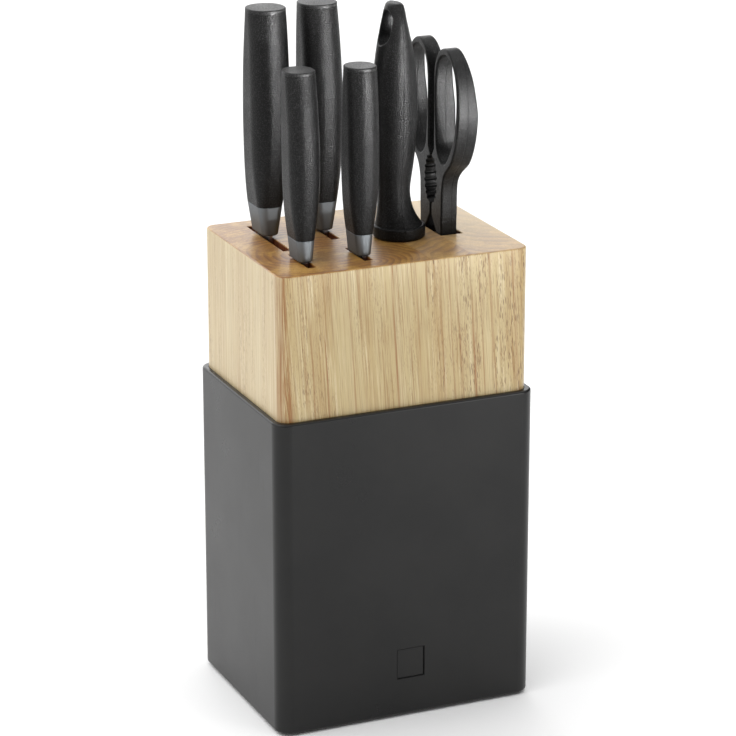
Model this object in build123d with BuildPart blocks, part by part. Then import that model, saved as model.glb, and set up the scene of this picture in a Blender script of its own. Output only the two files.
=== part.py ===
from build123d import *

import os
from math import cos, pi, sin

# A knife block: a glued wooden head with four knives, a honing steel and shears,
# standing in a hollow moulded base. Millimetres, +Z up, origin at the centre of the
# footprint on the table. The wide face with the recessed panel looks along -Y.

# ---------------------------------------------------------------- driving dimensions
FIT = 0.05

HEAD_X = 134.0
HEAD_Y = 102.0
HEAD_TOP = 240.0
HEAD_BOTTOM = 136.0
HEAD_HEIGHT = HEAD_TOP - HEAD_BOTTOM
HEAD_CORNER = 6.0
HEAD_EDGE = 0.9

SLEEVE_WALL = 2.7
SLEEVE_GAP = 0.3
SLEEVE_TOP = 166.0
SLEEVE_BOTTOM = 1.0
SLEEVE_EDGE = 1.1
SLEEVE_FOOT_EDGE = 2.0
SLEEVE_INNER_X = HEAD_X + 2 * SLEEVE_GAP
SLEEVE_INNER_Y = HEAD_Y + 2 * SLEEVE_GAP
SLEEVE_X = SLEEVE_INNER_X + 2 * SLEEVE_WALL
SLEEVE_Y = SLEEVE_INNER_Y + 2 * SLEEVE_WALL
PANEL_X = 15.0
PANEL_Z = 16.0
PANEL_CORNER = 0.8
PANEL_DEPTH = 0.6
PANEL_CENTRE = (1.7, 29.2)

LUG = 15.0
LUG_THICK = 6.0
BOSS_HEIGHT = 16.0
SCREW_X = 59.0
SCREW_Y = 43.0
SCREW_SHANK = 1.45
SCREW_PILOT = 1.5
SCREW_HEAD = 3.0
SCREW_DEPTH = 14.0
PILOT_DEPTH = 15.0
PAN_HEAD_RISE = 1.8
PAN_HEAD_CROWN = 2.4
CROSS_LENGTH = 2.8
CROSS_WIDTH = 0.7
CROSS_DEPTH = 0.9
PLATE_THICK = 3.0
FOOT_RADIUS = 7.0
FOOT_THICK = 2.0
FOOT_EDGE = 0.5
FOOT_X = 46.0
FOOT_Y = 31.0

# slots: low and high x, low and high y
CHEF_SLOT = (-47.4, -43.5, -8.5, 40.0)
PARING_SLOT = (-47.4, -43.5, -40.0, -15.0)
SLICER_SLOT = (-17.3, -13.4, 1.4, 40.0)
UTILITY_SLOT = (-17.3, -13.4, -39.5, -15.7)
SHEARS_SLOT = (35.5, 47.2, -14.4, 14.4)
SHEARS_FLOOR = 142.0
MOUTH_EDGE = 0.35

# Knives. Sections are (x size, y size, corner): collar foot, collar top, middle of the
# grip, butt. Stations are (share of the grip, share of the swell, share of the close).
LARGE_SECTIONS = ((8.6, 18.6, 3.6), (13.2, 20.8, 4.4), (20.5, 26.6, 9.4), (19.6, 20.4, 9.5))
SMALL_SECTIONS = ((7.2, 16.4, 3.1), (9.7, 16.9, 3.7), (16.1, 21.8, 7.5), (15.6, 16.8, 7.5))
LARGE_COLLAR = 15.0
SMALL_COLLAR = 11.0
GRIP_STATIONS = (
    (0.00, 0.00, 0.00),
    (0.16, 0.60, 0.00),
    (0.34, 0.93, 0.00),
    (0.55, 1.00, 0.00),
    (0.76, 1.00, 0.28),
    (1.00, 1.00, 1.00),
)
EARLY_LEAN = (0.0, 0.5, 0.9, 1.0, 1.0, 1.0)
LATE_LEAN = (0.0, -0.2, -0.35, -0.2, 0.25, 1.0)
COLLAR_FOOT_EDGE = 1.0
COLLAR_TOP_EDGE = 0.35
CAP_THICK = 1.8
CAP_GROOVE = 0.3
CAP_EDGE = 0.6
BLADE_THICK = 2.0
CUTTING_EDGE = 0.4
TANG_SHIFT = 1.0
TANG_REACH = 0.72
RICASSO_DROP = 9.0
HEEL_DROP = 15.0
RICASSO_INSET = 1.5
SHOULDER_DROP = 5.0
GRIND_SHARE = 0.62

# the blade's tip, in shares of belly: how far above it the spine and the edge begin to
# curve, how far it sits back from the spine, and the bulge of the two curves
TIP_SPINE_RISE = 2.6
TIP_EDGE_RISE = 2.9
TIP_SETBACK = 0.55
TIP_SPINE_BULGE = 0.13
TIP_EDGE_BULGE = 1.15
TIP_EDGE_SHARE = 0.10

# honing steel: the grip stands off-centre on a round guard
STEEL_X = 13.4
STEEL_Y = -6.0
STEEL_BORE = 6.6
GUARD_SHIFT = 2.6
GUARD_RADIUS = 13.2
GUARD_HEIGHT = 6.5
GUARD_FOOT_EDGE = 1.6
GUARD_TOP_EDGE = 0.9
ROD_RADIUS = 5.5
ROD_LENGTH = 200.0
ROD_TIP_EDGE = 2.0
ROOT_RADIUS = 4.8
ROOT_LENGTH = 60.0
EYE_CENTRE = 106.8
EYE_HEIGHT = 17.4
EYE_WIDTH = 11.8
EYE_EDGE = 0.7
STEEL_TOP_EDGE = 2.4
# height above the guard's foot, shift towards the guard's centre, x radius, y radius
STEEL_STATIONS = (
    (5.9, 2.5, 12.1, 12.1),
    (9.3, 1.6, 10.8, 10.8),
    (13.1, 0.7, 9.5, 9.5),
    (18.2, 0.0, 8.5, 8.5),
    (24.5, -0.3, 8.1, 8.1),
    (31.0, -0.1, 8.6, 8.6),
    (41.0, 0.2, 9.7, 9.7),
    (53.4, 0.3, 10.7, 10.8),
    (69.6, 0.3, 11.1, 11.2),
    (89.7, 0.0, 9.8, 10.8),
    (100.3, -0.1, 7.9, 10.3),
    (109.2, -0.2, 5.9, 9.4),
    (115.2, -0.2, 4.6, 7.6),
    (119.0, -0.2, 3.7, 5.6),
)

# shears: across is the distance from the middle plane towards the loop's own side
SHEARS_Y = -0.6
SHEARS_LOW_X = 35.8
SHEARS_THICK = 11.2
SHEARS_HIGH_X = SHEARS_LOW_X + SHEARS_THICK
SHEARS_MID_X = SHEARS_LOW_X + SHEARS_THICK / 2
SHEARS_BLADE = 1.8
SHEARS_EDGE = 0.9
SHANK_HIGH_X = 44.7
HANDLE_FOOT = 236.0
PIVOT_Z = 226.0
PIVOT_RADIUS = 2.5
PIVOT_DISC = 9.0
PIVOT_HEAD = 4.6
PIVOT_HEAD_THICK = 1.6
PIVOT_HEAD_EDGE = 0.5
PIVOT_SLOT = (7.0, 1.0, 0.8)
SHANK_GAP = 0.6
SHANK_INNER = 6.4
SHANK_OUTER = 12.6
SHANK_SPLAY = (239.5, 248.0)
SHANK_TOP = 247.0
LOOP_GAP = 3.1
LOOP_STEP = (278.5, 282.5)
LOOP_INNER_TOP = 318.0
LOOP_OUTLINE = (
    (SHANK_OUTER, SHANK_TOP), (12.9, 258.0), (13.7, 266.0), (16.2, 271.8), (21.5, 276.9), (27.0, 285.0),
    (30.2, 294.0), (31.5, 304.0), (31.2, 313.0), (29.3, 322.5), (24.6, 331.0), (17.0, 335.5),
    (9.4, 333.8), (4.6, 327.5),
    (LOOP_GAP, LOOP_INNER_TOP),
)
LOOP_OPENING = (
    (5.1, 304.0), (5.6, 321.0), (9.8, 329.9), (16.4, 332.4), (22.9, 329.3), (27.6, 320.0),
    (28.5, 306.0), (26.2, 293.0), (20.2, 282.0), (13.6, 276.8), (8.6, 280.2), (5.9, 290.0),
)
LOOP_BACK = ((SHEARS_HIGH_X, 302.0), (46.1, 312.0), (45.0, 322.0), (43.7, 331.0), (43.1, 337.0))
SHANK_RAMP = (266.0, 279.0)
TANG_NEAR = 8.0
TANG_FAR = 12.0
TANG_TOP = 256.0
TOOTH_COUNT = 8
TOOTH_RADIUS = 0.95
RECESS_Z = 266.0
RECESS_HALF_Y = 6.6
RECESS_HALF_Z = 12.5

BOARD_SEAMS = (
    -HEAD_X / 2,
    CHEF_SLOT[1],
    SLICER_SLOT[1],
    STEEL_X,
    SHEARS_SLOT[0],
    HEAD_X / 2,
)

os.makedirs("parts", exist_ok=True)


def save(piece, label):
    """Write a finished piece to its own STEP file."""
    piece.part.label = label
    export_step(piece.part, f"parts/{label}.step")


def cut_box(low, high):
    """Cut a box, given by two opposite corners, out of the part being built."""
    size = [b - a for a, b in zip(low, high)]
    middle = tuple((a + b) / 2 for a, b in zip(low, high))
    with Locations(middle):
        Box(*size, mode=Mode.SUBTRACT)


# ---------------------------------------------------------------- moulded base
with BuildPart() as base_sleeve:
    with BuildSketch(Plane.XY.offset(SLEEVE_BOTTOM)):
        RectangleRounded(SLEEVE_X, SLEEVE_Y, HEAD_CORNER + SLEEVE_GAP + SLEEVE_WALL / 2)
    extrude(amount=SLEEVE_TOP - SLEEVE_BOTTOM)
    fillet(base_sleeve.faces().sort_by(Axis.Z)[-1].edges(), SLEEVE_EDGE)
    fillet(base_sleeve.faces().sort_by(Axis.Z)[0].edges(), SLEEVE_FOOT_EDGE)
    with BuildSketch(Plane.XY.offset(SLEEVE_BOTTOM)):
        RectangleRounded(SLEEVE_INNER_X, SLEEVE_INNER_Y, HEAD_CORNER + SLEEVE_GAP)
    extrude(amount=SLEEVE_TOP, mode=Mode.SUBTRACT)
    # corner lugs under the head, and corner bosses above the floor plate
    for lug_bottom, lug_height in (
        (HEAD_BOTTOM - LUG_THICK, LUG_THICK),
        (SLEEVE_BOTTOM + PLATE_THICK, BOSS_HEIGHT),
    ):
        with BuildSketch(Plane.XY.offset(lug_bottom)):
            with GridLocations(SLEEVE_INNER_X - LUG, SLEEVE_INNER_Y - LUG, 2, 2):
                Rectangle(LUG, LUG)
            RectangleRounded(
                SLEEVE_INNER_X + SLEEVE_WALL,
                SLEEVE_INNER_Y + SLEEVE_WALL,
                HEAD_CORNER + SLEEVE_GAP,
                mode=Mode.INTERSECT,
            )
        extrude(amount=lug_height)
    with BuildSketch(Plane.XY.offset(SLEEVE_BOTTOM)):
        with GridLocations(2 * SCREW_X, 2 * SCREW_Y, 2, 2):
            Circle(SCREW_PILOT)
    extrude(amount=HEAD_BOTTOM, mode=Mode.SUBTRACT)
    # plain recessed panel on the wide front face
    with BuildSketch(Plane.XZ.offset(SLEEVE_Y / 2 - PANEL_DEPTH)):
        with Locations(PANEL_CENTRE):
            RectangleRounded(PANEL_X, PANEL_Z, PANEL_CORNER)
    extrude(amount=SLEEVE_WALL, mode=Mode.SUBTRACT)
save(base_sleeve, "base_sleeve")

with BuildPart() as floor_plate:
    with BuildSketch(Plane.XY.offset(SLEEVE_BOTTOM)):
        RectangleRounded(HEAD_X, HEAD_Y, HEAD_CORNER)
    extrude(amount=PLATE_THICK)
    with BuildSketch(Plane.XY.offset(SLEEVE_BOTTOM)):
        with GridLocations(2 * FOOT_X, 2 * FOOT_Y, 2, 2):
            Circle(FOOT_RADIUS + FIT)
    extrude(amount=FOOT_THICK - SLEEVE_BOTTOM, mode=Mode.SUBTRACT)
    with Locations(Location((0, 0, SLEEVE_BOTTOM), (180, 0, 0))):
        with GridLocations(2 * SCREW_X, 2 * SCREW_Y, 2, 2):
            CounterSinkHole(SCREW_PILOT, SCREW_HEAD)
save(floor_plate, "floor_plate")

with BuildPart() as rubber_feet:
    with BuildSketch():
        with GridLocations(2 * FOOT_X, 2 * FOOT_Y, 2, 2):
            Circle(FOOT_RADIUS)
    extrude(amount=FOOT_THICK)
    fillet(rubber_feet.faces().group_by(Axis.Z)[0].edges(), FOOT_EDGE)
save(rubber_feet, "rubber_feet")


def screws(head_height, tip_height, head_rise, outer_radius, seat_radius):
    """Four screws at the corners, heads down, as one group of separate solids."""
    with BuildPart() as group:
        with BuildSketch(Plane.XY.offset(head_height)):
            with GridLocations(2 * SCREW_X, 2 * SCREW_Y, 2, 2):
                Circle(SCREW_SHANK)
        extrude(amount=tip_height - head_height)
        with GridLocations(2 * SCREW_X, 2 * SCREW_Y, 2, 2):
            with Locations((0, 0, head_height + head_rise / 2)):
                Cone(outer_radius, seat_radius, head_rise)
        # cross drive
        with BuildSketch(Plane.XY.offset(head_height)):
            with GridLocations(2 * SCREW_X, 2 * SCREW_Y, 2, 2):
                for turn in (0, 90):
                    Rectangle(CROSS_LENGTH, CROSS_WIDTH, rotation=turn)
        extrude(amount=CROSS_DEPTH, mode=Mode.SUBTRACT)
    return group


plate_screws = screws(
    head_height=SLEEVE_BOTTOM,
    tip_height=SLEEVE_BOTTOM + SCREW_DEPTH,
    head_rise=SCREW_HEAD - SCREW_SHANK,
    outer_radius=SCREW_HEAD - FIT,
    seat_radius=SCREW_SHANK - FIT,
)
save(plate_screws, "plate_screws")

head_screws = screws(
    head_height=HEAD_BOTTOM - LUG_THICK - PAN_HEAD_RISE,
    tip_height=HEAD_BOTTOM + SCREW_DEPTH,
    head_rise=PAN_HEAD_RISE,
    outer_radius=PAN_HEAD_CROWN,
    seat_radius=SCREW_HEAD,
)
save(head_screws, "head_screws")

# ---------------------------------------------------------------- glued wooden head
with BuildPart() as whole_head:
    with BuildSketch(Plane.XY.offset(HEAD_BOTTOM)):
        RectangleRounded(HEAD_X, HEAD_Y, HEAD_CORNER)
    extrude(amount=HEAD_HEIGHT)
    fillet(whole_head.faces().sort_by(Axis.Z)[-1].edges(), HEAD_EDGE)
    for slot_floor, slot in (
        (HEAD_BOTTOM, CHEF_SLOT),
        (HEAD_BOTTOM, PARING_SLOT),
        (HEAD_BOTTOM, SLICER_SLOT),
        (HEAD_BOTTOM, UTILITY_SLOT),
        (SHEARS_FLOOR, SHEARS_SLOT),
    ):
        low_x, high_x, low_y, high_y = slot
        cut_box((low_x, low_y, slot_floor), (high_x, high_y, HEAD_TOP))
    with BuildSketch(Plane.XY.offset(HEAD_BOTTOM)):
        with Locations((STEEL_X, STEEL_Y)):
            Circle(STEEL_BORE)
    extrude(amount=HEAD_HEIGHT, mode=Mode.SUBTRACT)
    mouth_edges = ShapeList()
    for wire in whole_head.faces().sort_by(Axis.Z)[-1].inner_wires():
        mouth_edges += wire.edges()
    chamfer(mouth_edges, MOUTH_EDGE)
    with BuildSketch(Plane.XY.offset(HEAD_BOTTOM)):
        with GridLocations(2 * SCREW_X, 2 * SCREW_Y, 2, 2):
            Circle(SCREW_PILOT)
    extrude(amount=PILOT_DEPTH, mode=Mode.SUBTRACT)

for number, (low_x, high_x) in enumerate(zip(BOARD_SEAMS, BOARD_SEAMS[1:]), start=1):
    with BuildPart() as board:
        add(whole_head.part)
        with Locations(((low_x + high_x) / 2, 0, HEAD_BOTTOM + HEAD_HEIGHT / 2)):
            Box(high_x - low_x, HEAD_Y, HEAD_HEIGHT, mode=Mode.INTERSECT)
    save(board, f"head_board_{number}")


# ---------------------------------------------------------------- knives
def blend(first, second, share):
    """A section part-way between two others."""
    return tuple(a + share * (b - a) for a, b in zip(first, second))


def knife(name, x, y, lift, butt, collar_height, sections, lean, droop, edge_y, spine_y, tip_z, belly):
    """Blade with tang, collar, moulded handle and end cap, standing edge forward at (x, y).

    lift is how far the collar's foot stays above the block. lean gives, at each grip
    station, the share of droop by which the grip has moved towards the edge side. belly
    sets how round the blade's tip is.
    """
    foot, shoulder, grip, end = sections
    collar_foot = HEAD_TOP + lift
    collar_top = collar_foot + collar_height
    cap_bottom = butt - CAP_THICK
    end_y = y - droop
    tang_low_y = y + TANG_SHIFT - foot[1] / 4
    tang_high_y = y + TANG_SHIFT + foot[1] / 4
    tang_top = HEAD_TOP + TANG_REACH * (butt - HEAD_TOP)
    half = BLADE_THICK / 2
    pocket_low = (x - half - FIT, tang_low_y - FIT, collar_foot - FIT)
    pocket_high = (x + half + FIT, tang_high_y + FIT, tang_top + FIT)

    with BuildPart() as collar:
        with BuildSketch(Plane((x, y, collar_foot))):
            RectangleRounded(*foot)
        with BuildSketch(Plane((x, y, collar_top))):
            RectangleRounded(*shoulder)
        loft()
        fillet(collar.faces().sort_by(Axis.Z)[0].edges(), COLLAR_FOOT_EDGE)
        fillet(collar.faces().sort_by(Axis.Z)[-1].edges(), COLLAR_TOP_EDGE)
        cut_box(pocket_low, pocket_high)
    save(collar, f"{name}_collar")

    # the grip swells from the collar to its middle and closes again to the butt
    with BuildPart() as handle:
        for (share, swell, close), moved in zip(GRIP_STATIONS, lean):
            section = blend(blend(shoulder, grip, swell), end, close)
            height = collar_top + share * (cap_bottom - collar_top)
            with BuildSketch(Plane((x, y - droop * moved, height))):
                RectangleRounded(*section)
        loft()
        cut_box(pocket_low, pocket_high)
    save(handle, f"{name}_handle")

    with BuildPart() as end_cap:
        with BuildSketch(Plane((x, end_y, cap_bottom))):
            RectangleRounded(end[0] - CAP_GROOVE, end[1] - CAP_GROOVE, end[2] - CAP_GROOVE / 2)
        extrude(amount=CAP_GROOVE)
        with BuildSketch(Plane((x, end_y, cap_bottom + CAP_GROOVE))):
            RectangleRounded(*end)
        extrude(amount=CAP_THICK - CAP_GROOVE)
        fillet(end_cap.faces().sort_by(Axis.Z)[-1].edges(), CAP_EDGE)
    save(end_cap, f"{name}_end_cap")

    ricasso_y = y - foot[1] / 2 + RICASSO_INSET
    shoulder_y = y + foot[1] / 2 - RICASSO_INSET
    heel = HEAD_TOP - HEEL_DROP
    spine_end = (spine_y, tip_z + TIP_SPINE_RISE * belly)
    tip = (spine_y - TIP_SETBACK * belly, tip_z)
    edge_end = (edge_y, tip_z + TIP_EDGE_RISE * belly)
    edge_middle_y = edge_y + TIP_EDGE_SHARE * (spine_y - edge_y)
    with BuildPart() as blade:
        with BuildSketch(Plane.YZ.offset(x)):
            with BuildLine():
                Polyline(
                    (tang_low_y, tang_top),
                    (tang_high_y, tang_top),
                    (tang_high_y, collar_foot),
                    (shoulder_y, collar_foot),
                    (shoulder_y, HEAD_TOP),
                    (spine_y, HEAD_TOP - SHOULDER_DROP),
                    spine_end,
                )
                Spline(
                    spine_end,
                    (spine_y - TIP_SPINE_BULGE * belly, tip_z + belly),
                    tip,
                    tangents=((0, -1), (-0.45, -0.9)),
                )
                Spline(
                    tip,
                    (edge_middle_y, tip_z + TIP_EDGE_BULGE * belly),
                    edge_end,
                    tangents=((-0.75, 0.66), (0, 1)),
                )
                Polyline(
                    edge_end,
                    (edge_y, heel),
                    (ricasso_y, HEAD_TOP - RICASSO_DROP),
                    (ricasso_y, collar_foot),
                    (tang_low_y, collar_foot),
                    (tang_low_y, tang_top),
                )
            make_face()
        extrude(amount=half, both=True)
        # the flat sides thin down to the cutting edge
        grind_y = edge_y + GRIND_SHARE * (spine_y - edge_y)
        with BuildSketch(Plane.XY.offset(heel)):
            for side in (-1, 1):
                with BuildLine():
                    Polyline(
                        (x + side * half, grind_y),
                        (x + side * CUTTING_EDGE / 2, edge_y),
                        (x + side * CUTTING_EDGE / 2, edge_y - 1),
                        (x + side * BLADE_THICK, edge_y - 1),
                        close=True,
                    )
                make_face()
        extrude(amount=tip_z - heel, mode=Mode.SUBTRACT)
    save(blade, f"{name}_blade")


knife(
    "chef_knife", x=-45.0, y=21.8, lift=1.8, butt=356.8,
    collar_height=LARGE_COLLAR, sections=LARGE_SECTIONS, lean=EARLY_LEAN, droop=3.4,
    edge_y=-7.2, spine_y=32.5, tip_z=40.0, belly=27.0,
)
knife(
    "slicing_knife", x=-15.1, y=22.4, lift=1.3, butt=356.0,
    collar_height=LARGE_COLLAR, sections=LARGE_SECTIONS, lean=LATE_LEAN, droop=-2.2,
    edge_y=3.0, spine_y=33.0, tip_z=40.0, belly=20.0,
)
knife(
    "paring_knife", x=-45.4, y=-26.0, lift=0.6, butt=334.5,
    collar_height=SMALL_COLLAR, sections=SMALL_SECTIONS, lean=LATE_LEAN, droop=-1.8,
    edge_y=-37.5, spine_y=-17.0, tip_z=145.0, belly=14.0,
)
knife(
    "utility_knife", x=-14.8, y=-26.8, lift=0.6, butt=334.8,
    collar_height=SMALL_COLLAR, sections=SMALL_SECTIONS, lean=EARLY_LEAN, droop=1.3,
    edge_y=-38.0, spine_y=-17.2, tip_z=105.0, belly=15.0,
)

# ---------------------------------------------------------------- honing steel
with BuildPart() as steel_handle:
    with BuildSketch(Plane((STEEL_X + GUARD_SHIFT, STEEL_Y, HEAD_TOP))):
        Circle(GUARD_RADIUS)
    extrude(amount=GUARD_HEIGHT)
    fillet(steel_handle.faces().sort_by(Axis.Z)[0].edges(), GUARD_FOOT_EDGE)
    fillet(steel_handle.faces().sort_by(Axis.Z)[-1].edges(), GUARD_TOP_EDGE)
    for height, shift, radius_x, radius_y in STEEL_STATIONS:
        with BuildSketch(Plane((STEEL_X + shift, STEEL_Y, HEAD_TOP + height))):
            Ellipse(radius_x, radius_y)
    loft()
    fillet(steel_handle.faces().sort_by(Axis.Z)[-1].edges(), STEEL_TOP_EDGE)
    # hanging eye, straight through along X
    with BuildSketch(Plane.YZ.offset(STEEL_X)):
        with Locations((STEEL_Y, HEAD_TOP + EYE_CENTRE)):
            SlotOverall(EYE_HEIGHT, EYE_WIDTH, rotation=90)
    extrude(amount=GUARD_RADIUS, both=True, mode=Mode.SUBTRACT)
    fillet(steel_handle.edges(Select.LAST).filter_by(Axis.X, reverse=True), EYE_EDGE)
    # seat for the root of the rod
    with BuildSketch(Plane((STEEL_X, STEEL_Y, HEAD_TOP))):
        Circle(ROOT_RADIUS + FIT)
    extrude(amount=ROOT_LENGTH + FIT, mode=Mode.SUBTRACT)
save(steel_handle, "steel_handle")

with BuildPart() as steel_rod:
    with BuildSketch(Plane((STEEL_X, STEEL_Y, HEAD_TOP))):
        Circle(ROD_RADIUS)
    extrude(amount=-ROD_LENGTH)
    fillet(steel_rod.faces().sort_by(Axis.Z)[0].edges(), ROD_TIP_EDGE)
    with BuildSketch(Plane((STEEL_X, STEEL_Y, HEAD_TOP))):
        Circle(ROOT_RADIUS)
    extrude(amount=ROOT_LENGTH)
save(steel_rod, "steel_rod")


# ---------------------------------------------------------------- kitchen shears
def shears_half(name, side):
    """One handle with its blade. side is -1 for the half whose loop is in front, 1 for the other."""

    def at(across, height):
        return (SHEARS_Y + side * across, height)

    splay_low, splay_high = SHANK_SPLAY
    step_low, step_high = LOOP_STEP
    with BuildPart() as handle:
        with BuildSketch(Plane.YZ.offset(SHEARS_LOW_X)):
            with BuildLine():
                Polyline(
                    at(LOOP_GAP, LOOP_INNER_TOP),
                    at(LOOP_GAP, step_high),
                    at(SHANK_GAP, step_low),
                    at(SHANK_GAP, splay_high),
                    at(SHANK_INNER, splay_low),
                    at(SHANK_INNER, HANDLE_FOOT),
                    at(SHANK_OUTER, HANDLE_FOOT),
                    at(SHANK_OUTER, SHANK_TOP),
                )
                Spline([at(*point) for point in LOOP_OUTLINE])
            make_face()
            with BuildLine():
                Spline([at(*point) for point in LOOP_OPENING], periodic=True)
            make_face(mode=Mode.SUBTRACT)
        extrude(amount=SHEARS_THICK)
        # on the far side the shank is slimmer than the loop, and the loop thins to its top
        ramp_low, ramp_high = SHANK_RAMP
        outside = SHEARS_HIGH_X + 1
        with BuildSketch(Plane.XZ):
            with BuildLine():
                Line((SHANK_HIGH_X, HANDLE_FOOT - 1), (SHANK_HIGH_X, ramp_low))
                Spline(
                    (SHANK_HIGH_X, ramp_low),
                    (SHEARS_HIGH_X, ramp_high),
                    tangents=((0, 1), (0, 1)),
                )
                Polyline(
                    (SHEARS_HIGH_X, ramp_high),
                    (outside, ramp_high),
                    (outside, HANDLE_FOOT - 1),
                    (SHANK_HIGH_X, HANDLE_FOOT - 1),
                )
            make_face()
            with BuildLine():
                Spline(LOOP_BACK, tangents=((0, 1), (-0.1, 1)))
                Polyline(
                    LOOP_BACK[-1],
                    (outside, LOOP_BACK[-1][1]),
                    (outside, LOOP_BACK[0][1]),
                    LOOP_BACK[0],
                )
            make_face()
        extrude(amount=LOOP_BACK[0][0], both=True, mode=Mode.SUBTRACT)
        fillet(handle.edges().filter_by(Axis.X, reverse=True), SHEARS_EDGE)
        # toothed recess for cracking nuts and gripping caps
        with BuildSketch(Plane.YZ.offset(SHEARS_LOW_X)):
            with Locations((SHEARS_Y, RECESS_Z)):
                Ellipse(RECESS_HALF_Y, RECESS_HALF_Z)
            for tooth in range(TOOTH_COUNT):
                angle = pi * (tooth + 0.5 - TOOTH_COUNT / 2) / (TOOTH_COUNT + 3)
                across = RECESS_HALF_Y * cos(angle)
                with Locations(at(across, RECESS_Z + RECESS_HALF_Z * sin(angle))):
                    Circle(TOOTH_RADIUS)
        extrude(amount=SHEARS_THICK, mode=Mode.SUBTRACT)
        # pocket for the tang
        low_x, high_x = sorted((SHEARS_MID_X, SHEARS_MID_X + side * SHEARS_BLADE))
        low_y, high_y = sorted((at(TANG_NEAR, 0)[0], at(TANG_FAR, 0)[0]))
        cut_box(
            (low_x - FIT, low_y - FIT, HANDLE_FOOT - FIT),
            (high_x + FIT, high_y + FIT, TANG_TOP + FIT),
        )
    save(handle, f"shears_{name}_handle")

    with BuildPart() as blade:
        with BuildSketch(Plane.YZ.offset(SHEARS_MID_X)):
            with Locations((SHEARS_Y, PIVOT_Z)):
                Circle(PIVOT_DISC)
            with BuildLine():
                Polyline(
                    at(TANG_NEAR, TANG_TOP),
                    at(TANG_FAR, TANG_TOP),
                    at(TANG_FAR, HANDLE_FOOT - 0.5),
                    at(8.7, PIVOT_Z - 1),
                    at(0, PIVOT_Z),
                    at(-2, PIVOT_Z + 8),
                    at(TANG_NEAR, HANDLE_FOOT - 0.5),
                    close=True,
                )
            make_face()
            with BuildLine():
                Line(at(0, PIVOT_Z), at(-8.8, PIVOT_Z - 1))
                Spline(
                    at(-8.8, PIVOT_Z - 1),
                    at(-7.6, 195.0),
                    at(-4.6, 165.0),
                    at(-0.7, SHEARS_FLOOR),
                )
                Polyline(
                    at(-0.7, SHEARS_FLOOR),
                    at(0.3, SHEARS_FLOOR + 1.5),
                    at(2.2, PIVOT_Z - 16),
                    at(0, PIVOT_Z),
                )
            make_face()
            with Locations((SHEARS_Y, PIVOT_Z)):
                Circle(PIVOT_RADIUS + FIT, mode=Mode.SUBTRACT)
        extrude(amount=side * SHEARS_BLADE)
    save(blade, f"shears_{name}_blade")


shears_half("front", -1)
shears_half("back", 1)

pivot_plane = Plane(origin=(SHEARS_MID_X, SHEARS_Y, PIVOT_Z), x_dir=(0, 1, 0), z_dir=(1, 0, 0))
pivot_foot = pivot_plane.offset(-SHEARS_BLADE - PIVOT_HEAD_THICK)
with BuildPart() as pivot_screw:
    with BuildSketch(pivot_foot):
        Circle(PIVOT_HEAD)
    extrude(amount=PIVOT_HEAD_THICK)
    fillet(pivot_screw.faces().sort_by(Axis.X)[0].edges(), PIVOT_HEAD_EDGE)
    with BuildSketch(pivot_plane.offset(-SHEARS_BLADE)):
        Circle(PIVOT_RADIUS)
    extrude(amount=2 * SHEARS_BLADE + PIVOT_HEAD_THICK)
    slot_length, slot_width, slot_depth = PIVOT_SLOT
    with BuildSketch(pivot_foot):
        Rectangle(slot_length, slot_width)
    extrude(amount=slot_depth, mode=Mode.SUBTRACT)
save(pivot_screw, "shears_pivot_screw")

with BuildPart() as pivot_nut:
    with BuildSketch(pivot_plane.offset(SHEARS_BLADE)):
        RegularPolygon(PIVOT_HEAD, 6)
        Circle(PIVOT_RADIUS + FIT, mode=Mode.SUBTRACT)
    extrude(amount=PIVOT_HEAD_THICK)
save(pivot_nut, "shears_pivot_nut")
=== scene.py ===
import math

import bpy
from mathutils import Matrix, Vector


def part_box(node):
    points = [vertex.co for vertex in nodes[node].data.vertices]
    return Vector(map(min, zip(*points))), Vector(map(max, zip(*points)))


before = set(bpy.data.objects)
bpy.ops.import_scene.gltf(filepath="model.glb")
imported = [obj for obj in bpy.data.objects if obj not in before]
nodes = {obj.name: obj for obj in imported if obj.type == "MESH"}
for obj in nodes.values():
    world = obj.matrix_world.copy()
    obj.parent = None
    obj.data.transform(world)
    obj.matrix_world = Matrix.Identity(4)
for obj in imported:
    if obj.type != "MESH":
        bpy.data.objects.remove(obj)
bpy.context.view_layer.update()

KNIVES = ("chef_knife", "slicing_knife", "utility_knife", "paring_knife")


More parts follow.
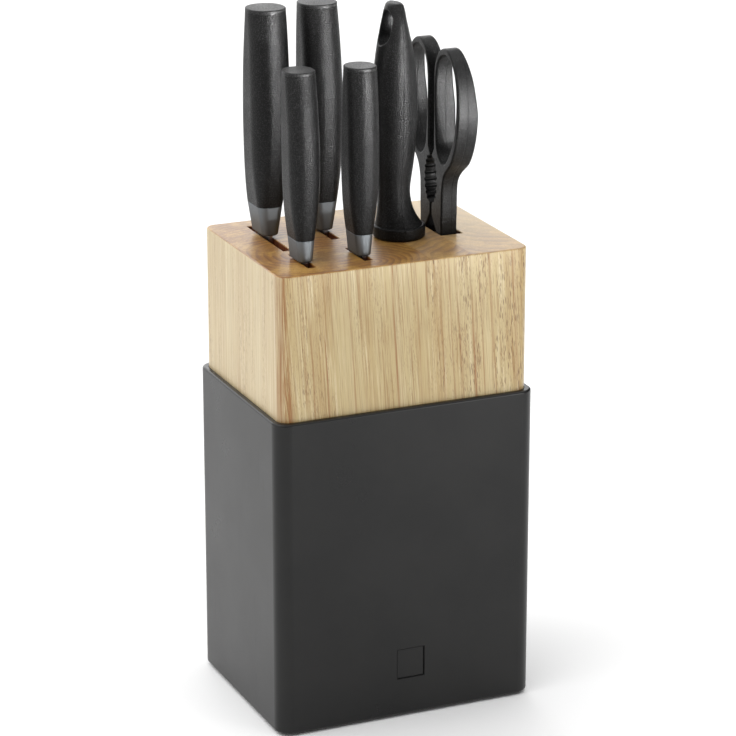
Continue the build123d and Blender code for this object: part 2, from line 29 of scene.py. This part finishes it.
# ---------------------------------------------------------------- node helpers
class Wiring:
    """Short ways to add and join the nodes of one node tree."""

    def __init__(self, tree, space):
        self.tree = tree
        self.point = self.node("ShaderNodeTexCoord").outputs[space]

    def node(self, kind, sockets=None, **settings):
        made = self.tree.nodes.new(kind)
        for key, value in settings.items():
            setattr(made, key, value)
        for key, value in (sockets or {}).items():
            self.set(made.inputs[key], value)
        return made

    def set(self, socket, value):
        if isinstance(value, bpy.types.NodeSocket):
            self.tree.links.new(value, socket)
        elif socket.type == "RGBA":
            socket.default_value = (*value, 1.0)
        else:
            socket.default_value = value

    def math(self, operation, *values, clamp=False):
        made = self.node("ShaderNodeMath", operation=operation, use_clamp=clamp)
        for socket, value in zip(made.inputs, values):
            self.set(socket, value)
        return made.outputs[0]

    def axes(self, vector=None):
        return self.node("ShaderNodeSeparateXYZ", {"Vector": vector or self.point}).outputs

    def joined(self, x, y, z):
        return self.node("ShaderNodeCombineXYZ", {"X": x, "Y": y, "Z": z}).outputs[0]

    def scaled(self, x, y, z):
        return self.node("ShaderNodeMapping", {"Vector": self.point, "Scale": (x, y, z)}).outputs[0]

    def noise(self, vector, scale, detail, rough):
        sockets = {"Vector": vector, "Scale": scale, "Detail": detail, "Roughness": rough}
        return self.node("ShaderNodeTexNoise", sockets).outputs["Fac"]

    def cells(self, vector, scale):
        return self.node("ShaderNodeTexVoronoi", {"Vector": vector, "Scale": scale}).outputs["Distance"]

    def span(self, value, low, high, to_low=0.0, to_high=1.0, smooth=True):
        made = self.node("ShaderNodeMapRange", interpolation_type="SMOOTHSTEP" if smooth else "LINEAR")
        for key, number in zip(("Value", "From Min", "From Max", "To Min", "To Max"),
                               (value, low, high, to_low, to_high)):
            self.set(made.inputs[key], number)
        return made.outputs["Result"]

    def ramp(self, value, *stops):
        made = self.node("ShaderNodeValToRGB", {"Fac": value})
        bands = made.color_ramp.elements
        while len(bands) < len(stops):
            bands.new(0.5)
        for band, (place, colour) in zip(bands, stops):
            band.position = place
            band.color = (*colour, 1.0)
        return made.outputs["Color"]

    def mix(self, share, first, second, blend="MIX"):
        made = self.node("ShaderNodeMix", data_type="RGBA", blend_type=blend)
        self.set(made.inputs[0], share)
        self.set(made.inputs[6], first)
        self.set(made.inputs[7], second)
        return made.outputs[2]

    def bump(self, height, strength, distance, under=None):
        made = self.node("ShaderNodeBump", {"Height": height, "Strength": strength, "Distance": distance})
        if under is not None:
            self.set(made.inputs["Normal"], under)
        return made.outputs["Normal"]

    def near(self, value, centre, half, soft):
        """1 where value lies within half of centre, fading to 0 over soft."""
        away = self.math("ABSOLUTE", self.math("SUBTRACT", value, centre))
        return self.span(away, half, half + soft, 1.0, 0.0)


class Paint(Wiring):
    """A Principled material."""

    def __init__(self, name):
        self.material = bpy.data.materials.new(name)
        self.material.use_nodes = True
        super().__init__(self.material.node_tree, "Object")
        self.bsdf = self.tree.nodes["Principled BSDF"]

    def shader(self, **values):
        for key, value in values.items():
            self.set(self.bsdf.inputs[key.replace("_", " ")], value)

    def facing(self, axis):
        """1 on faces that look along an axis, either way, and 0 on faces across it."""
        normal = self.node("ShaderNodeNewGeometry").outputs["Normal"]
        return self.span(self.math("ABSOLUTE", self.axes(normal)[axis]), 0.35, 0.85)


def grey(value):
    return (value, value, value)


def srgb(*values):
    """Linear colour from 0-255 sRGB numbers."""
    return tuple((v / 255 / 12.92) if v <= 10 else ((v / 255 + 0.055) / 1.055) ** 2.4 for v in values)


def dress(node, material):
    """Gives a CAD node its finished material in every slot."""
    data = nodes[node].data
    if not data.materials:
        data.materials.append(material)
    for index in range(len(data.materials)):
        data.materials[index] = material


# ---------------------------------------------------------------- wood
SLANT = 0.065  # sideways run of the fibres for each metre of drop
STREAK_TURN = -0.12  # how far a streak moves sideways for each metre back into the wood
HEAD_FRONT = 0.051
HEAD_MIDDLE = 0.20
SLOTS_X = 0.054  # the slots lie within these distances of the head's middle
SLOTS_Y = 0.045
# how many fibres, hairs and pores there are across a metre, and how far each is drawn out
FIBRES, FIBRE_STRETCH = 900.0, 0.016
HAIRS, HAIR_STRETCH = 2900.0, 0.014
LONG_PORES, LONG_PORE_STRETCH = 1500.0, 0.10
SHORT_PORES, SHORT_PORE_STRETCH = 2100.0, 0.14

SIDE_PALE, SIDE_MIDDLE, SIDE_DEEP = srgb(192, 174, 130), srgb(186, 165, 117), srgb(179, 154, 104)
# painted sheen: the pale greyish tan that the faces along X are mixed towards
SIDE_PAINTED_SHEEN = srgb(205, 195, 172)
FIBRE_DARK, FIBRE_PALE = srgb(144, 102, 48), srgb(214, 200, 162)
HAIR_BROWN = srgb(128, 94, 50)
STREAK_BROWN = srgb(146, 98, 46)
PORE_BROWN, FLECK_BROWN = srgb(104, 68, 32), srgb(124, 84, 42)
END_PALE, END_DEEP, END_CLOUD = srgb(184, 143, 68), srgb(158, 110, 44), srgb(132, 84, 32)
END_LATE, END_FIBRE, END_PORE = srgb(112, 68, 28), srgb(120, 76, 36), srgb(96, 62, 34)
# painted sheen: the pale colour that the end grain is mixed towards at the back and the +X side
END_PAINTED_SHEEN = srgb(206, 188, 150)
# painted shade: the darker, redder colours of the walls inside the slots
SLOT_SHADE_PALE, SLOT_SHADE_DEEP = srgb(128, 68, 34), srgb(84, 40, 20)


def wood(name, pith, ring, tone, pores, painted_sheen, streaks):
    """Solid wood, grown round an upright pith: rings on the end grain, streaks on the sides."""
    p = Paint(name)
    at = p.axes()
    # the fibres slant a little on the wide faces and run straight down the narrow ones
    slant = p.span(p.facing("X"), 0.0, 1.0, SLANT, 0.0, smooth=False)
    drop = p.math("SUBTRACT", at["Z"], HEAD_MIDDLE)
    across = p.math("MULTIPLY_ADD", drop, slant, at["X"])

    def grain(scale, stretch, detail, rough):
        """Noise drawn out along the fibres."""
        return p.noise(p.joined(across, at["Y"], p.math("MULTIPLY", at["Z"], stretch)), scale, detail, rough)

    wander = grain(22.0, 0.2, 3.0, 0.5)
    dx = p.math("SUBTRACT", at["X"], pith[0])
    dy = p.math("SUBTRACT", at["Y"], pith[1])
    away = p.math("SQRT", p.math("ADD", p.math("MULTIPLY", dx, dx), p.math("MULTIPLY", dy, dy)))
    away = p.math("MULTIPLY_ADD", wander, 0.020, away)
    turn = p.math("FRACT", p.math("DIVIDE", away, ring))
    late = p.math("MULTIPLY", p.span(turn, 0.25, 0.9), p.span(turn, 1.0, 0.92))
    cloud = grain(110.0, 0.05, 3.0, 0.6)
    patch = grain(60.0, 0.3, 2.0, 0.5)
    fibre = grain(FIBRES, FIBRE_STRETCH, 4.0, 0.78)
    hair = grain(HAIRS, HAIR_STRETCH, 2.0, 0.6)
    vessel = p.cells(p.joined(across, at["Y"], p.math("MULTIPLY", at["Z"], LONG_PORE_STRETCH)), LONG_PORES)
    short = p.cells(p.joined(across, at["Y"], p.math("MULTIPLY", at["Z"], SHORT_PORE_STRETCH)), SHORT_PORES)
    crowd = grain(90.0, 0.10, 4.0, 0.7)
    many = p.span(crowd, 0.60 - pores, 0.70 - pores)
    dash = p.math("MULTIPLY", p.span(vessel, 0.34, 0.20), many)
    fleck_and_painted_glint = p.math("MULTIPLY", p.span(short, 0.32, 0.18), p.span(crowd, 0.50 - pores, 0.66 - pores))

    side = p.ramp(cloud, (0.30, SIDE_PALE), (0.5, SIDE_MIDDLE), (0.70, SIDE_DEEP))
    lively = p.span(crowd, 0.36, 0.60, 0.30, 1.0)
    dark_fibre = p.math("MULTIPLY", p.span(fibre, 0.53, 0.62, 0.0, 0.72), lively)
    pale_fibre = p.math("MULTIPLY", p.span(fibre, 0.36, 0.47, 0.70, 0.0), lively)
    side = p.mix(dark_fibre, side, FIBRE_DARK)
    side = p.mix(pale_fibre, side, FIBRE_PALE)
    side = p.mix(p.span(hair, 0.50, 0.70, 0.0, 0.50), side, HAIR_BROWN)
    # painted sheen: the faces that look along X, left and right, are mixed towards a pale greyish tan for the
    # sheen of the light on them
    side = p.mix(p.math("MULTIPLY", p.facing("X"), 0.30), side, SIDE_PAINTED_SHEEN)
    for centre, width, depth in streaks:
        band = p.math("MULTIPLY_ADD", p.math("ADD", at["Y"], HEAD_FRONT), STREAK_TURN, across)
        band = p.math("MULTIPLY_ADD", p.math("SUBTRACT", wander, 0.5), 0.006, band)
        band = p.near(band, centre, width * 0.35, width)
        broken = p.math("MULTIPLY", band, p.span(fibre, 0.38, 0.60, 0.15, 1.0))
        side = p.mix(p.math("MULTIPLY", broken, depth), side, STREAK_BROWN)
    side = p.mix(p.math("MULTIPLY", dash, 0.90), side, PORE_BROWN)
    side = p.mix(p.math("MULTIPLY", fleck_and_painted_glint, 0.55), side, FLECK_BROWN)

    end = p.ramp(patch, (0.30, END_PALE), (0.70, END_DEEP))
    end = p.mix(p.span(cloud, 0.46, 0.60, 0.0, 0.55), end, END_CLOUD)
    end = p.mix(p.math("MULTIPLY", late, p.span(patch, 0.38, 0.6, 0.20, 0.90)), end, END_LATE)
    end = p.mix(p.span(fibre, 0.45, 0.62, 0.0, 0.40), end, END_FIBRE)
    end = p.mix(p.math("MULTIPLY", dash, 0.4), end, END_PORE)
    # painted sheen: the end grain is mixed towards a pale colour towards the back and the +X side, for the
    # sheen of the bright wall in the coat; each board gives how much
    back = p.math("MULTIPLY_ADD", at["X"], 0.55, at["Y"])
    end = p.mix(p.span(back, -0.02, 0.06, painted_sheen, 0.30 + painted_sheen), end, END_PAINTED_SHEEN)

    # painted shade: the walls of the slots, in shade inside the head, are painted darker and redder than the
    # outside
    slot_shade_mask = p.math("MULTIPLY", p.near(at["X"], 0.0, SLOTS_X, 0.001), p.near(at["Y"], 0.0, SLOTS_Y, 0.001))
    slot_shade = p.mix(p.span(fibre, 0.4, 0.65), SLOT_SHADE_PALE, SLOT_SHADE_DEEP)
    level = p.facing("Z")
    colour = p.mix(level, p.mix(slot_shade_mask, side, slot_shade), end)
    colour = p.mix(1.0, colour, tone, "MULTIPLY")
    relief = p.math("SUBTRACT", p.math("MULTIPLY", fibre, 0.6), dash)
    p.shader(
        Base_Color=colour,
        Roughness=p.span(fibre, 0.3, 0.7, 0.40, 0.52),
        Normal=p.bump(relief, 0.25, 0.0003),
        Coat_Weight=0.25,
        Coat_Roughness=0.28,
    )
    return p.material


# pith, ring width, tone, pores, painted sheen on the end grain towards the back, streaks (centre, width,
# depth)
BOARDS = (
    ((-0.0430, -0.0160), 0.0040, (1.0, 0.985, 0.965), 0.05, 0.00,
     ((-0.0642, 0.0034, 0.90), (-0.0630, 0.0006, 0.80), (-0.0535, 0.0004, 0.60), (-0.0500, 0.0005, 0.60))),
    ((-0.0300, -0.1500), 0.0040, (0.995, 0.99, 0.975), 0.01, 0.00,
     ((-0.0425, 0.0006, 0.90), (-0.0385, 0.0003, 0.60), (-0.0290, 0.0005, 0.70), (-0.0235, 0.0004, 0.55))),
    ((-0.0130, -0.0420), 0.0038, (1.0, 1.0, 0.985), 0.02, 0.04,
     ((-0.0060, 0.0007, 0.90), (-0.0038, 0.0004, 0.70), (0.0030, 0.0003, 0.60), (0.0075, 0.0004, 0.60))),
    ((0.0900, -0.1100), 0.0050, (1.01, 1.0, 0.98), 0.10, 0.18,
     ((0.0200, 0.0006, 0.60), (0.0255, 0.0004, 0.70), (0.0300, 0.0006, 0.65))),
    ((0.1100, 0.0400), 0.0064, (1.05, 1.04, 1.02), 0.13, 0.32,
     ((0.0370, 0.0008, 0.75), (0.0415, 0.0004, 0.70), (0.0470, 0.0006, 0.70), (0.0600, 0.0008, 0.65))),
)
for number, facts in enumerate(BOARDS, start=1):
    dress(f"head_board_{number}", wood(f"wood_{number}", *facts))


# ---------------------------------------------------------------- plastics and rubber
PANEL_MIDDLE = (0.0017, 0.0292)  # x and z of the recess on the front of the base
PANEL_HALF = (0.0075, 0.0080)


def satin_plastic(name, dark, light, rough, gleam, grain=2600.0, depth=0.00006, groove=None):
    p = Paint(name)
    cloud = p.noise(p.point, 24.0, 4.0, 0.6)
    speck = p.noise(p.point, grain, 2.0, 0.6)
    scuff = p.noise(p.scaled(300.0, 300.0, 40.0), 1.0, 3.0, 0.6)
    colour = p.mix(p.span(cloud, 0.3, 0.7), dark, light)
    colour = p.mix(p.span(speck, 0.62, 0.8, 0.0, 0.4), colour, tuple(2.2 * v for v in light))
    uneven = p.span(cloud, 0.3, 0.7, rough - 0.03, rough + 0.03)
    gloss = p.math("ADD", uneven, p.span(scuff, 0.6, 0.8, 0.0, 0.07))
    surface = p.bump(speck, 0.25, depth)
    if groove is not None:
        line = groove(p)
        colour = p.mix(p.math("MULTIPLY", line, 0.8), colour, grey(0.0008))
        gloss = p.math("MULTIPLY_ADD", line, 0.4, gloss)
        surface = p.bump(p.math("SUBTRACT", 1.0, line), 0.8, 0.0003, surface)
    p.shader(Base_Color=colour, Roughness=gloss, Specular_IOR_Level=gleam, Normal=surface)
    return p.material


def grained_plastic(name, dark, light, rough, gleam, pitch, depth, seam=None):
    """Spark-eroded grain: rounded pits and peaks of about half a millimetre.

    seam is the x of the upright plane in which the two halves of the mould met.
    """
    p = Paint(name)
    peaks = p.noise(p.point, pitch, 0.0, 0.5)
    fleck_and_painted_glint = p.noise(p.point, pitch * 1.1, 0.0, 0.5)
    wear = p.noise(p.point, 60.0, 3.0, 0.6)
    colour = p.mix(p.span(peaks, 0.42, 0.62), dark, light)
    # painted glints: bright flecks in the colour stand in for the sparkle of the grain in the light
    colour = p.mix(p.span(fleck_and_painted_glint, 0.56, 0.66, 0.0, 0.9), colour, tuple(4.5 * v for v in light))
    height = peaks
    if seam is not None:
        line = p.near(p.axes()["X"], seam, 0.00010, 0.00020)
        height = p.math("SUBTRACT", peaks, p.math("MULTIPLY", line, 0.8))
        colour = p.mix(p.math("MULTIPLY", line, 0.7), colour, grey(0.001))
    uneven = p.span(wear, 0.3, 0.7, rough - 0.04, rough + 0.04)
    gloss = p.math("ADD", uneven, p.span(peaks, 0.4, 0.7, 0.06, -0.06))
    p.shader(Base_Color=colour, Roughness=gloss, Specular_IOR_Level=gleam, Normal=p.bump(height, 1.0, depth))
    return p.material


def middle_x(node):
    low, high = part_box(node)
    return (low[0] + high[0]) / 2


def panel_groove(p):
    """1 along the edge of the recessed panel low on the front of the base."""
    at = p.axes()
    half_x, half_z = PANEL_HALF
    aside = p.math("SUBTRACT", p.math("ABSOLUTE", p.math("SUBTRACT", at["X"], PANEL_MIDDLE[0])), half_x)
    above = p.math("SUBTRACT", p.math("ABSOLUTE", p.math("SUBTRACT", at["Z"], PANEL_MIDDLE[1])), half_z)
    rim = p.near(p.math("MAXIMUM", aside, above), 0.0, 0.00016, 0.00028)
    return p.math("MULTIPLY", rim, p.span(at["Y"], -HEAD_FRONT, -HEAD_FRONT - 0.001, 0.0, 1.0))


base_plastic = satin_plastic(
    "base_plastic", grey(0.0035), (0.0062, 0.0060, 0.0056), 0.30, 0.33, groove=panel_groove)
grip_plastic = grained_plastic("grip_plastic", grey(0.0015), grey(0.0045), 0.40, 0.18, 2000.0, 0.00017)
steel_grip = grained_plastic(
    "steel_grip", grey(0.0015), grey(0.0045), 0.40, 0.17, 2000.0, 0.00016, middle_x("steel_rod"))
cap_plastic = grained_plastic("cap_plastic", grey(0.0030), grey(0.008), 0.42, 0.24, 2000.0, 0.00010)
shears_plastic = grained_plastic(
    "shears_plastic", grey(0.0020), grey(0.005), 0.42, 0.20, 2000.0, 0.00010, middle_x("shears_front_handle"))
foot_rubber = satin_plastic("foot_rubber", grey(0.012), grey(0.02), 0.75, 0.4, 1500.0, 0.0002)


# ---------------------------------------------------------------- metals
def brushed_metal(name, colour, rough, stretch, scale, strength):
    """Satin metal with fine scratches along the axis that stretch shortens most."""
    p = Paint(name)
    lines = p.noise(p.scaled(*stretch), scale, 3.0, 0.6)
    cloud = p.noise(p.point, 45.0, 3.0, 0.55)
    tint = p.mix(p.span(lines, 0.3, 0.7), tuple(0.95 * v for v in colour), tuple(1.03 * v for v in colour))
    uneven = p.span(lines, 0.3, 0.7, rough - 0.05, rough + 0.07)
    gloss = p.math("ADD", uneven, p.span(cloud, 0.3, 0.7, -0.03, 0.03))
    p.shader(Base_Color=tint, Metallic=1.0, Roughness=gloss, Normal=p.bump(lines, strength, 0.00004))
    return p.material


collar_steel = brushed_metal("collar_steel", (0.165, 0.178, 0.188), 0.54, (1.0, 1.0, 0.6), 1900.0, 0.30)
blade_steel = brushed_metal("blade_steel", (0.44, 0.45, 0.46), 0.30, (1.0, 0.02, 1.0), 4000.0, 0.10)
screw_steel = brushed_metal("screw_steel", (0.52, 0.52, 0.50), 0.35, (1.0, 1.0, 1.0), 900.0, 0.25)


RIB_COUNT = 64.0


def ribbed_steel(name):
    """Fine ribs along a sharpening rod."""
    p = Paint(name)
    middle = [(a + b) / 2 for a, b in zip(*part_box("steel_rod"))]
    at = p.axes()
    angle = p.math("ARCTAN2", p.math("SUBTRACT", at["Y"], middle[1]), p.math("SUBTRACT", at["X"], middle[0]))
    ribs = p.math("SINE", p.math("MULTIPLY", angle, RIB_COUNT))
    drawn = p.noise(p.scaled(1.0, 1.0, 0.02), 1600.0, 3.0, 0.6)
    tint = p.mix(p.span(drawn, 0.3, 0.7), grey(0.46), grey(0.58))
    p.shader(Base_Color=tint, Metallic=1.0, Roughness=p.span(drawn, 0.3, 0.7, 0.24, 0.38),
             Normal=p.bump(ribs, 0.6, 0.0001))
    return p.material


rod_steel = ribbed_steel("rod_steel")

for node, material in (
    ("base_sleeve", base_plastic),
    ("floor_plate", base_plastic),
    ("rubber_feet", foot_rubber),
    ("plate_screws", screw_steel),
    ("head_screws", screw_steel),
    ("steel_handle", steel_grip),
    ("steel_rod", rod_steel),
    ("shears_front_handle", shears_plastic),
    ("shears_back_handle", shears_plastic),
    ("shears_front_blade", blade_steel),
    ("shears_back_blade", blade_steel),
    ("shears_pivot_screw", screw_steel),
    ("shears_pivot_nut", screw_steel),
):
    dress(node, material)
for knife in KNIVES:
    dress(f"{knife}_blade", blade_steel)
    dress(f"{knife}_collar", collar_steel)
    dress(f"{knife}_handle", grip_plastic)
    dress(f"{knife}_end_cap", cap_plastic)

# ---------------------------------------------------------------- floor, light and camera
FLOOR_HALF = 9.0
floor_mesh = bpy.data.meshes.new("floor")
floor_mesh.from_pydata(
    [(x * FLOOR_HALF, y * FLOOR_HALF, 0.0) for x, y in ((-1, -1), (1, -1), (1, 1), (-1, 1))],
    [],
    [(0, 1, 2, 3)],
)
floor = bpy.data.objects.new("floor", floor_mesh)
bpy.context.scene.collection.objects.link(floor)
floor_paint = Paint("floor")
floor_paint.shader(Base_Color=grey(0.93), Roughness=0.8, Specular_IOR_Level=0.2)
floor_mesh.materials.append(floor_paint.material)

# a soft bright ceiling over a dimmer room, with a pale wall behind and a fainter one on the left
world = bpy.data.worlds.new("studio")
bpy.context.scene.world = world
world.use_nodes = True
room = Wiring(world.node_tree, "Generated")


def glow(way, low, high, strength):
    """Light that fades in over the directions nearest to way."""
    near = room.node("ShaderNodeVectorMath", {0: room.point, 1: way}, operation="DOT_PRODUCT")
    return room.span(near.outputs["Value"], low, high, 0.0, strength)


ceiling = glow((0.0, 0.0, 1.0), 0.40, 0.92, 1.6)
wall = glow((0.0, 0.98, 0.17), 0.72, 0.96, 2.6)
fill = glow((-0.90, 0.10, 0.40), 0.55, 0.95, 1.3)
total = room.math("ADD", room.math("ADD", ceiling, wall), room.math("ADD", fill, 0.05))
sky = world.node_tree.nodes["Background"]
sky.inputs["Color"].default_value = (1.0, 1.0, 1.0, 1.0)
room.set(sky.inputs["Strength"], total)


def softbox(name, place, target, width, height, power, spread=180.0):
    light = bpy.data.lights.new(name, "AREA")
    light.shape = "RECTANGLE"
    light.size = width
    light.size_y = height
    light.energy = power
    light.spread = math.radians(spread)
    holder = bpy.data.objects.new(name, light)
    holder.location = place
    aim = Vector(target) - Vector(place)
    holder.rotation_mode = "QUATERNION"
    holder.rotation_quaternion = aim.to_track_quat("-Z", "Y")
    bpy.context.scene.collection.objects.link(holder)


softbox("key", place=(0.66, -1.10, 0.17), target=(0.0, 0.0, 0.24), width=0.26, height=0.30, power=3.9)
# a narrow low beam that the upright grips mirror into the camera
softbox("grip_light", place=(0.44, -1.09, 0.10), target=(0.0, 0.0, 0.41),
        width=0.26, height=0.10, power=0.66, spread=14.0)

LENS = 155.0
SENSOR_WIDTH = 36.0
CLIP_END = 60.0
AZIMUTH = math.radians(-23.71)
ELEVATION = math.radians(18.44)
DISTANCE = 1.609
AIM = Vector((0.0017, 0.0, 0.1702))
camera_data = bpy.data.cameras.new("camera")
camera_data.lens = LENS
camera_data.sensor_width = SENSOR_WIDTH
camera_data.clip_end = CLIP_END
camera = bpy.data.objects.new("camera", camera_data)
bpy.context.scene.collection.objects.link(camera)
back = Vector((
    math.sin(AZIMUTH) * math.cos(ELEVATION),
    -math.cos(AZIMUTH) * math.cos(ELEVATION),
    math.sin(ELEVATION),
))
camera.location = AIM + DISTANCE * back
camera.rotation_mode = "QUATERNION"
camera.rotation_quaternion = (-back).to_track_quat("-Z", "Y")
bpy.context.scene.camera = camera
bpy.context.scene.view_settings.view_transform = "Standard"
